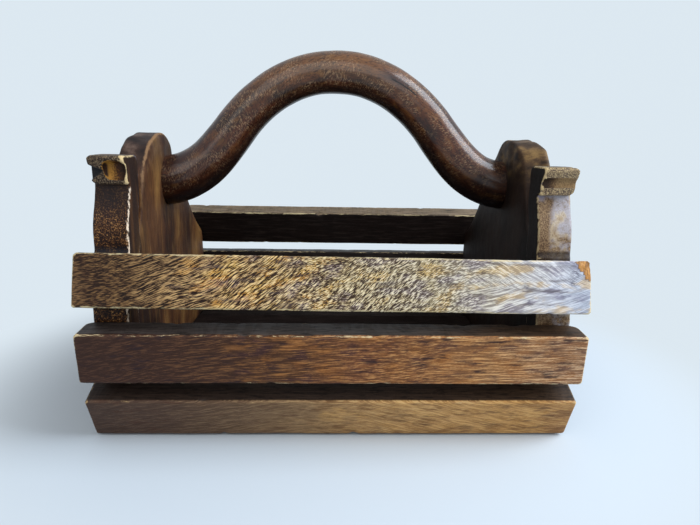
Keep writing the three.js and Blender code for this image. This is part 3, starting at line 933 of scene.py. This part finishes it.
def spots(f, across, up, places):
    """Small round marks: places give two coordinates and a radius in millimetres."""
    total = 0.0
    for at_across, at_up, radius in places:
        aside, above = f.off(across, at_across), f.off(up, at_up)
        far = f.math("SQRT", f.sum(f.times(aside, aside), f.times(above, above)))
        total = f.sum(total, f.span(far, radius, radius * SPOT_CORE))
    return f.math("MINIMUM", total, 1.0)


print("stroke helper ready")

# %% Looks of each slat
# Each list runs from the left end to the right one. A stroke layer gives the share of the
# length at which it starts, its lean in degrees, and a stroke's length and width in
# millimetres. The greys say how strongly the dark ink and the pale ridges show. Gold and dirt
# lie between two places, or from one onwards, and end with their strength. Worn wood has its
# strength, and the sharpness of an arris from which it shows.
LOOKS = {
    "top": {
        # Towards the right end the colours turn pale bluish grey: partly dust and bleaching, partly a
        # painted sheen of the window on the satin wood.
        "ground": [
            (0.0, "#6b4f33"), (0.03, "#361f12"), (0.10, "#533a22"), (0.20, "#826545"), (0.33, "#94734a"),
            (0.50, "#9a8560"), (0.68, "#a99a79"), (0.80, "#b9b1a2"), (0.92, "#c2c3ca"), (1.0, "#aeb4c0"),
        ],
        "swirl": (32, 3.6),
        "strokes": [
            (0.0, 8, 4, 0.66), (0.10, 22, 7, 0.68), (0.27, 37, 6, 0.68), (0.42, 20, 3, 0.68),
            (0.50, 40, 3.4, 0.66), (0.68, 22, 3, 0.66), (0.79, -30, 9, 0.7),
        ],
        "ink": [
            (0.1, "#1b0e08"), (0.3, "#26160b"), (0.5, "#35251a"), (0.7, "#43352d"), (0.85, "#574945"),
            (1.0, "#505668"),
        ],
        "ink_share": [
            (0.0, "#e8e8e8"), (0.1, "#ffffff"), (0.62, "#ffffff"), (0.75, "#dcdcdc"), (0.9, "#9c9c9c"),
        ],
        "ridge": [(0.06, "#b48b56"), (0.3, "#dcbb80"), (0.5, "#ddcda4"), (0.8, "#e9e2d2"), (1.0, "#dfe3ea")],
        "ridge_share": [
            (0.0, "#606060"), (0.12, "#a8a8a8"), (0.3, "#ffffff"), (0.6, "#f0f0f0"), (0.8, "#c8c8c8"),
            (1.0, "#909090"),
        ],
        "tints": (0.26, "#c9a252", "#655b74"),
        "gold": (0.20, 0.50, "#b9802e", 0.8),
        "dirt": (0.18, "#463b3c", 0.6),
        "upper": [(0.0, "#7b6850"), (1.0, "#82705a")],
        "worn": ("#cbb98f", 0.75, 0.10),
        "smudges": [(141, -1, 4.5), (144, -12, 4), (178, 10, 5), (176, 3, 4)],
        "fan": {"size": (13, 40, 0.95), "lean": -16},
    },
    "middle": {
        "ground": [
            (0.0, "#38231b"), (0.15, "#3d261c"), (0.28, "#452c1f"), (0.42, "#5e3d25"), (0.55, "#7a4e31"),
            (0.70, "#8f6039"), (0.82, "#a27449"), (1.0, "#9a7353"),
        ],
        "swirl": (44, 2.6),
        "strokes": [
            (0.0, 12, 7, 0.6), (0.16, 5, 12, 0.6), (0.36, 2, 17, 0.62),
            (0.55, 6, 8, 0.6), (0.72, 1, 20, 0.6),
        ],
        "ink": [(0.0, "#1a0f0b"), (0.5, "#25130c"), (0.8, "#351e18"), (1.0, "#3a2625")],
        "ink_share": [(0.0, "#909090"), (0.4, "#c8c8c8"), (1.0, "#b8b8b8")],
        "ridge": [(0.0, "#6f4d38"), (0.35, "#9a6a3c"), (0.5, "#c28a50"), (0.8, "#dcaa6e"), (1.0, "#e0bf98")],
        "ridge_share": [(0.0, "#707070"), (0.4, "#b8b8b8"), (1.0, "#d8d8d8")],
        "tints": (0.3, "#96602f", "#38222c"),
        "gold": (0.40, 1.1, "#a96a33", 0.35),
        "dirt": (-0.1, "#26181c", 0.85),
        "upper": [(0.0, "#433b38"), (0.6, "#4a423c"), (0.85, "#4e3b2b")],
        "worn": ("#cdb78d", 0.9, 0.12),
    },
    "bottom": {
        "ground": [
            (0.0, "#453228"), (0.15, "#503b2f"), (0.32, "#6f563f"), (0.45, "#91724f"), (0.55, "#ac8556"),
            (0.78, "#bd9059"), (0.9, "#b98a50"), (1.0, "#9c7043"),
        ],
        "swirl": (50, 3.5),
        "strokes": [(0.0, 11, 13, 0.58), (0.42, -4, 11, 0.58), (0.55, -17, 16, 0.58), (0.85, -9, 16, 0.6)],
        "ink": [(0.0, "#231712"), (0.45, "#3a2716"), (0.6, "#5a3c20"), (1.0, "#57381b")],
        "ink_share": [(0.0, "#909090"), (0.5, "#b0b0b0"), (1.0, "#a8a8a8")],
        "ridge": [(0.0, "#7d6450"), (0.45, "#ab8d63"), (0.6, "#dcb87e"), (1.0, "#d8b070")],
        "ridge_share": [(0.0, "#808080"), (0.6, "#b0b0b0"), (1.0, "#b0b0b0")],
        "tints": (0.45, "#c3965a", "#6b4526"),
        "gold": (0.5, 1.2, "#b98a4e", 0.4),
        "dirt": (-0.1, "#4a2f22", 0.55),
        "upper": [(0.0, "#30251f"), (0.6, "#3b2e26"), (0.9, "#473628")],
        "worn": ("#b5986b", 0.75, 0.14),
    },
}
print(len(LOOKS), "looks for the slats")

# %% Finish of a slat
DARK_STAIN, DUST, BLACK_PORE, SMUDGE, TORN_EDGE = "#170e0b", "#4a3f39", "#0b0706", "#4c4856", "#2b1a12"
FRESH_WOOD = [(0.35, "#6f4a22"), (0.6, "#a97638"), (0.75, "#c69352")]
STAIN_STARTS, STAIN_FULL = 1.2, 2.6
SEED_SHIFT = (0.37, 0.11, 0.23)


def slat_finish(name, half_thickness, look, seed, outside):
    """outside is the side on which y looks out of the holder; the rest keeps its dark stain."""
    f = Finish(f"{name} wood")
    where = f.place()
    x, y, z = f.axes(where)
    shift = [seed * step for step in SEED_SHIFT]
    cloud = f.grain(where, (30, 30, 12), detail=3, shift=shift)
    share = f.sum(along(f, x), f.centred(cloud, 0.12))
    f.colour = f.tones(share, look["ground"])

    start, stop, gold, strength = look["gold"]
    patch = f.grain(where, (24, 60, 8), lean=-12, detail=4, roughness=0.6, shift=shift)
    between = f.times(f.after(share, start), f.band(share, stop + 0.05, stop - 0.05))
    f.lay(gold, f.band(patch, 0.50, 0.62), between, strength)

    start, warm, cool = look["tints"]
    tint = f.grain(where, (22, 40, 9), lean=-8, detail=3, shift=shift[1:] + shift[:1])
    tinted = f.times(f.after(share, start, 0.06), 0.55)
    f.lay(warm, f.band(tint, 0.52, 0.64), tinted)
    f.lay(cool, f.band(tint, 0.48, 0.36), tinted)

    curly = f.swirl(where, *look["swirl"], shift=shift)
    bed = strokes(f, curly, share, look["strokes"])
    if "fan" in look:
        fan = f.grain(curly, **look["fan"])
        low_right = f.times(f.band(share, 0.74, 0.80), f.span(z, 3, -4))
        bed = f.node("Mix", {"Factor": low_right, 2: bed, 3: fan})
    bed = f.sum(bed, f.centred(f.grain(curly, (2.6, 20, 0.42), lean=-10, shift=shift), 0.3))
    line = f.times(f.band(bed, 0.485, 0.55), f.tones(share, look["ink_share"]))
    f.lay(f.tones(share, look["ink"]), line)
    f.lay(f.tones(share, look["ridge"]), f.band(bed, 0.46, 0.38), f.tones(share, look["ridge_share"]))

    start, dirt, strength = look["dirt"]
    smoke = f.grain(where, (26, 40, 4.5), detail=4, roughness=0.6, shift=shift[::-1])
    f.lay(dirt, f.band(smoke, 0.54, 0.68), f.after(share, start), strength)
    if "smudges" in look:
        broken = f.band(f.grain(where, (2.6, 9, 1.3), detail=4, roughness=0.7), 0.42, 0.58)
        f.lay(SMUDGE, spots(f, x, z, look["smudges"]), broken, 0.65)

    covered = f.span(f.times(y, outside), half_thickness - STAIN_STARTS, half_thickness - STAIN_FULL)
    streak = f.band(f.grain(where, (34, 2, 2), detail=4, roughness=0.65, shift=shift), 0.46, 0.66)
    stain = f.mix(f.times(streak, 0.3), DARK_STAIN, DUST)
    dusty = f.times(f.band(f.facing()[2], 0.5, 0.8), f.sum(0.25, f.times(f.sum(cloud, streak), 0.65)))
    stain = f.mix(dusty, stain, f.tones(share, look["upper"]))
    pore = f.grain(where, (13, 2.2, 1.6), detail=4, roughness=0.65, shift=shift)
    f.lay(f.mix(f.times(f.band(pore, 0.50, 0.62), 0.6), stain, BLACK_PORE), covered)

    ragged = f.grain(where, (7, 1.3, 1.3), detail=5, roughness=0.75, shift=shift)
    rubbed = f.grain(where, (38, 60, 60), shift=shift[::-1])
    uneven = f.sum(f.centred(ragged, 0.34), f.centred(rubbed, 0.16))
    worn, strength, start = look["worn"]
    f.lay(worn, f.band(f.sum(f.stored("arris"), uneven), start, start + 0.05), strength)

    chipped = f.stored("fresh")
    f.lay(TORN_EDGE, f.band(chipped, 0.1, 0.3), f.band(chipped, 0.85, 0.6), 0.7)
    f.lay(f.tones(f.grain(where, (1.2, 4, 6), detail=3), FRESH_WOOD), f.band(chipped, 0.5, 0.7))

    rough = f.sum(0.46, f.times(line, 0.2), f.times(covered, 0.06))
    height = f.sum(f.times(bed, -1.0), f.times(cloud, 0.5))
    return f.close(rough, height, 0.25, Specular_IOR_Level=0.16)


for seed, name in enumerate(SLATS):
    level = next((level for level in LOOKS if level in name), "bottom")
    outside = 1 if name.startswith("rear") else -1
    _, (_, half_thickness, _) = slat_place(name)
    finish = slat_finish(name, half_thickness, LOOKS[level], seed, outside)
    slats[name].data.materials.append(finish)
print("slats finished")

# %% [markdown]
# The finish of the handle. Hands have polished it, so it is smoother and redder than the
# slats, with fine pale flecks where the rays of the wood come to the surface, a lighter crown
# and one dark knot with a crack. A clear coat gives the long highlight. The grain reads its
# place from the straightened bar.

# %% Finish of the handle
HANDLE_TONES = [(0.32, "#1a0804"), (0.44, "#34160b"), (0.55, "#4d2714"), (0.70, "#6a4223")]
PALE_CROWN, RAY_FLECK, OPEN_PORE, GOLDEN = "#74502f", "#a38260", "#190a06", "#84592a"
RIGHT_END_STAIN_AND_SHADE, LEFT_STAIN, KNOT_STAIN, DEEP_CRACK, UNDERSIDE_STAIN_AND_SHADE = "#0e0706", "#1c0c08", "#2c2427", "#080505", "#0f0706"
# The knot and its crack: their places along the bar and above its middle.
KNOT_AT, CRACK_AT = (52, 4.5), (62, 4)


def handle_finish():
    f = Finish("polished handle wood")
    where = f.stored("grain", "Vector")
    run, aside, rise = f.axes(where)
    cloud = f.grain(where, (34, 12, 12), detail=4, roughness=0.6)
    f.colour = f.tones(cloud, HANDLE_TONES)
    f.lay(PALE_CROWN, f.span(f.math("ABSOLUTE", run), 120, 20), f.span(rise, -14, 6), 0.45)

    curly = f.swirl(where, 20, 3.0)
    rays = f.grain(curly, (0.8, 2.8, 2.8), lean=18, detail=3, roughness=0.6)
    pores = f.grain(curly, (3.6, 0.78, 0.78), lean=-15, detail=3, roughness=0.6)
    thick = f.grain(where, (22, 10, 10), detail=3, shift=(0.1, 0, 0))
    f.lay(RAY_FLECK, f.band(rays, 0.51, 0.60), f.band(thick, 0.38, 0.60), 0.6)
    f.lay(OPEN_PORE, f.band(pores, 0.51, 0.61), 0.75)
    gold = f.grain(where, (13, 8, 8), detail=3, shift=(0.02, 0, 0))
    f.lay(GOLDEN, f.band(gold, 0.58, 0.72), 0.3)
    # The right end is painted darker, most on its lower side: its darker stain and painted shade from the
    # right board beside it.
    f.lay(RIGHT_END_STAIN_AND_SHADE, f.span(f.sum(run, f.times(rise, -1.5)), 132, 190), 0.7)
    f.lay(LEFT_STAIN, f.span(run, -105, -170), 0.4)

    front = f.span(aside, 2, -4)
    drift = f.sum(rise, f.times(run, -0.03))
    (knot_run, knot_up), (crack_run, crack_up) = KNOT_AT, CRACK_AT
    f.lay(KNOT_STAIN, f.span(f.off(run, knot_run), 22, 6), front, f.span(f.off(drift, knot_up), 7, 1), 0.75)
    crack = f.times(f.span(f.off(run, crack_run), 15, 12), front, f.span(f.off(drift, crack_up), 0.9, 0.3))
    f.lay(DEEP_CRACK, crack)
    # The underside of the bar is painted darker: its darker stain and painted shade.
    f.lay(UNDERSIDE_STAIN_AND_SHADE, f.span(rise, -8, -18), 0.75)

    rough = f.sum(0.42, f.times(cloud, 0.16))
    height = f.sum(f.times(pores, -0.6), f.times(rays, 0.25), f.times(crack, -0.8))
    return f.close(rough, height, 0.06, Specular_IOR_Level=0.1, Coat_Weight=0.65, Coat_Roughness=0.2)


handle.data.materials.append(handle_finish())
print("handle finished")

# %% [markdown]
# The finish of the end boards. They have kept most of their near-black stain; on the right board
# and on the front of each inner face the near black is also painted shade. Where hands and other
# things rub, along the arrises, on the ear and down the front of the prong, it has worn through to
# pale wood; on the right prong a pale lavender haze is also a painted sheen. Painted shade lies
# on the prongs just above the top slat, and on the left board a painted highlight along the arris
# at the slot's edge. The boards stand with their grain upright, so the noise is stretched along Z.

# %% Looks of the two end boards
BOARD_LOOKS = {
    "left": {
        "ground": [(0.34, "#22120b"), (0.46, "#3a2114"), (0.56, "#5a391f"), (0.70, "#805c33")],
        "inner_stain_and_shade": "#1d100b", "streak": "#8a6638",
        "front": [(0.44, "#140906"), (0.51, "#28140d"), (0.57, "#6a4320"), (0.64, "#bd9058")],
        "front_top": "#160b09", "bare": (190, 168),
        "bloom_and_sheen": "#2c2228", "bloom_and_sheen_share": 0.1, "cloud": "#2c2228", "grit": "#2c2228",
        "rubbed": [(0.40, "#180f0b"), (0.52, "#44362b"), (0.64, "#988466")],
        "knob": [(0.38, "#1a110f"), (0.55, "#31221c"), (0.70, "#5f4c42")], "knob_inside": 0.5,
        "cup": [(0.30, "#120905"), (0.48, "#40230d"), (0.62, "#9a6c2c")], "end_dark": 0.9,
        "worn": "#e2cdb4", "post_worn": "#8d6b49", "slot_highlight": 0.55,
    },
    "right": {
        # The right board's colours are much darker than the left's: its dark stain, and painted shade, since
        # its inner face looks away from the window.
        "ground": [(0.30, "#0f0603"), (0.50, "#1a0d06"), (0.62, "#23140b"), (0.76, "#331f11")],
        "inner_stain_and_shade": "#0d0603", "streak": "#2e1c10",
        "front": [(0.40, "#4a3727"), (0.48, "#6d5640"), (0.55, "#876d50"), (0.65, "#a8926f")],
        # On the right prong the pale lavender and beige haze is partly a bloom of the old finish, partly a
        # painted sheen of the window.
        "front_top": "#85828f", "bare": (197, 188),
        "bloom_and_sheen": "#a9a5ab", "bloom_and_sheen_share": 0.92, "cloud": "#bfae94", "grit": "#6f6457",
        "rubbed": [(0.39, "#38281a"), (0.50, "#786141"), (0.63, "#c4ad80")],
        "knob": [(0.36, "#21160f"), (0.50, "#4c3825"), (0.68, "#8b6e44")], "knob_inside": 0.6,
        "cup": [(0.40, "#2a1c12"), (0.54, "#57402a"), (0.74, "#987c56")], "end_dark": 0.0,
        "worn": "#a89572", "post_worn": "#3c2a1d", "slot_highlight": 0.0,
    },
}
print("looks of the", " and ".join(BOARD_LOOKS), "end board")

# %% Finish of an end board
BOARD_PORE, OLD_SLATE, SEAM_SHADE, EAR_RIM, SLOT_RIM_HIGHLIGHT = "#150c09", "#14171c", "#10121a", "#cdb486", "#8f95a6"
# Painted shade lies on the prong just above the top slat, where the slat meets it, between these heights.
SEAM_LOW, SEAM_HIGH, SEAM_FADE = 142, 154, 3
# Where the other marks lie, in millimetres; each pair fades from its first place to its second.
KNOB_UP, KNOB_BACK = (196, 222), (-94, -86)
STRIP_FRONT, OUTER_PART, LOWER_PART = (-92, -98), (165, 172), (178, 156)
EAR_FRONT, EAR_END, CUP_OUT = (-107, -111), (-97, -107), (160, 172)
INNER_RIM, FRONT_RIM, BACK_RIM = (162.5, 160.5), (-96, -101), (-99, -94)
POST_RIM_OUT, POST_RIM_BACK, POST_RIM_UP = (168, 165), (-92, -86), (182, 206)


def board_finish(side):
    look, sign = BOARD_LOOKS[side], SIGNS[side]
    f = Finish(f"{side} end board wood")
    where = f.place()
    x, y, z = f.axes(where)
    across = f.times(x, sign)
    look_x, look_y, _ = f.facing()
    forwards = f.band(look_y, -0.45, -0.75)
    inwards = f.band(f.times(look_x, -sign), 0.45, 0.75)

    grain = f.grain(f.swirl(where, 60, 8), (15, 42, 95), detail=4)
    f.colour = f.tones(grain, look["ground"])
    streaks = f.grain(f.swirl(where, 60, 6), (3, 3, 60), detail=4, roughness=0.65)
    f.lay(look["streak"], f.band(streaks, 0.50, 0.66), 0.35)
    fine = f.grain(where, (0.9, 0.9, 8), detail=3)
    f.lay(BOARD_PORE, f.band(fine, 0.51, 0.64), 0.45)
    lined = f.band(f.grain(where, (26, 7, 60), detail=3, shift=(0.03, 0.01, 0)), 0.48, 0.60)
    # The front part of each board's inner face, by the prong, is painted near black: its dark stain and
    # painted shade.
    f.lay(look["inner_stain_and_shade"], inwards, f.span(y, -60, -86), f.sum(1.0, f.times(lined, -0.5)), 0.85)

    speck = f.grain(where, (0.95, 2.4, 1.0), detail=4, roughness=0.7)
    cover = f.grain(where, (9, 20, 14), detail=3, shift=(0.05, 0, 0.02))
    lump = f.sum(f.times(f.grain(where, (15, 12, 8), detail=4), 0.8), f.times(speck, 0.2))
    outside = f.rest(f.times(inwards, 1 - look["knob_inside"]))
    f.lay(f.tones(lump, look["knob"]), f.span(z, *KNOB_UP), f.span(y, *KNOB_BACK), outside)

    strip = f.times(f.span(y, *STRIP_FRONT), forwards)
    worn_down = f.span(f.sum(z, f.centred(cover, 24 * MM)), *look["bare"])
    fore = f.tones(f.sum(f.times(speck, 0.8), f.times(cover, 0.2)), look["front"])
    f.lay(f.mix(f.times(f.rest(worn_down), 0.8), fore, look["front_top"]), strip)
    outer_part = f.span(f.sum(across, f.centred(cover, 14 * MM)), *OUTER_PART)
    mottle = f.grain(where, (6, 8, 5), detail=6, roughness=0.75, shift=(0.02, 0.03, 0.01))
    # A mottled haze over the front of the strip and prong: a bloom of the old finish, and on the right prong
    # also a painted sheen.
    bloom_and_sheen = f.band(f.sum(mottle, f.times(f.span(z, *LOWER_PART), 0.12)), 0.74, 0.46)
    haze = f.mix(f.band(cover, 0.45, 0.62), look["bloom_and_sheen"], look["cloud"])
    haze = f.mix(f.times(f.band(speck, 0.48, 0.60), 0.4), haze, look["grit"])
    f.lay(haze, outer_part, strip, bloom_and_sheen, look["bloom_and_sheen_share"])
    # Painted shade, blue-black, on the front of the prong just above the top slat.
    seam = f.span(z, SEAM_HIGH, SEAM_HIGH - SEAM_FADE), f.span(z, SEAM_LOW - SEAM_FADE, SEAM_LOW)
    f.lay(SEAM_SHADE, *seam, strip, 0.75)

    ear_foot = EAR_TOPS[side] - EAR_HEIGHT
    above = f.span(z, ear_foot - 1, ear_foot + 1)
    ear = f.times(f.span(y, *EAR_FRONT), above, f.rest(inwards))
    proud = f.band(f.sum(f.stored("scooped"), f.centred(speck, 0.8)), 0.7, 0.35)
    f.lay(f.tones(speck, look["rubbed"]), ear, f.times(proud, 0.9))
    lit = f.times(f.span(across, *CUP_OUT), 0.3)
    cup = f.tones(f.sum(f.times(cover, 0.15), f.times(speck, 0.55), lit), look["cup"])
    f.lay(cup, ear, f.rest(proud))
    outwards = f.times(f.band(f.times(look_x, sign), 0.5, 0.75), above, f.span(y, *EAR_END))
    unworn = f.math("MAXIMUM", f.times(outwards, look["end_dark"]), f.times(f.stored("pared"), 0.93))
    f.lay(OLD_SLATE, unworn)

    arris = f.stored("arris")
    uneven = f.centred(f.grain(where, (1.6, 1.6, 5), detail=4, roughness=0.7), 0.30)
    inner_rim = f.times(f.band(f.sum(arris, uneven), 0.09, 0.13), f.span(across, *INNER_RIM))
    f.lay(f.mix(above, look["worn"], EAR_RIM), inner_rim, f.span(y, *FRONT_RIM), 0.95)
    # A painted highlight, pale bluish, along the inner arris at the slot's edge.
    f.lay(SLOT_RIM_HIGHLIGHT, inner_rim, f.span(y, *BACK_RIM), look["slot_highlight"])
    soft = f.band(f.sum(arris, f.times(uneven, 0.4)), 0.03, 0.08)
    post_rim = f.span(across, *POST_RIM_OUT), f.span(y, *POST_RIM_BACK), f.span(z, *POST_RIM_UP)
    f.lay(look["post_worn"], soft, *post_rim, 0.7)

    rough = f.sum(0.40, f.times(inwards, 0.12), f.times(speck, 0.25))
    height = f.sum(f.times(fine, -0.6), f.times(speck, 0.5))
    return f.close(rough, height, 0.2, Specular_IOR_Level=0.15)


for side, board in boards.items():
    board.data.materials.append(board_finish(side))
print("end boards finished")

# %% [markdown]
# The nails are driven below the surface, so little of them shows. They keep their plain
# bodies from the frame and get dull, oxidised steel: dark, with brown patches of rust.

# %% Finish of the nails
RUST_TONES = [(0.35, "#3b3836"), (0.55, "#4a3a30"), (0.7, "#5c3a24")]


def nail_finish():
    f = Finish("rusted nail steel")
    rust = f.grain(f.place(), (1.2, 1.2, 1.2), detail=4)
    f.colour = f.tones(rust, RUST_TONES)
    rough = f.sum(0.45, f.times(rust, 0.35))
    return f.close(rough, rust, 0.1, Metallic=f.band(rust, 0.6, 0.45), Specular_IOR_Level=0.25)


nail_steel = nail_finish()
nails = [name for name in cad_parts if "_nail_" in name]
for name in nails:
    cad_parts[name].material_slots[0].material = nail_steel
print(len(nails), "nails finished")
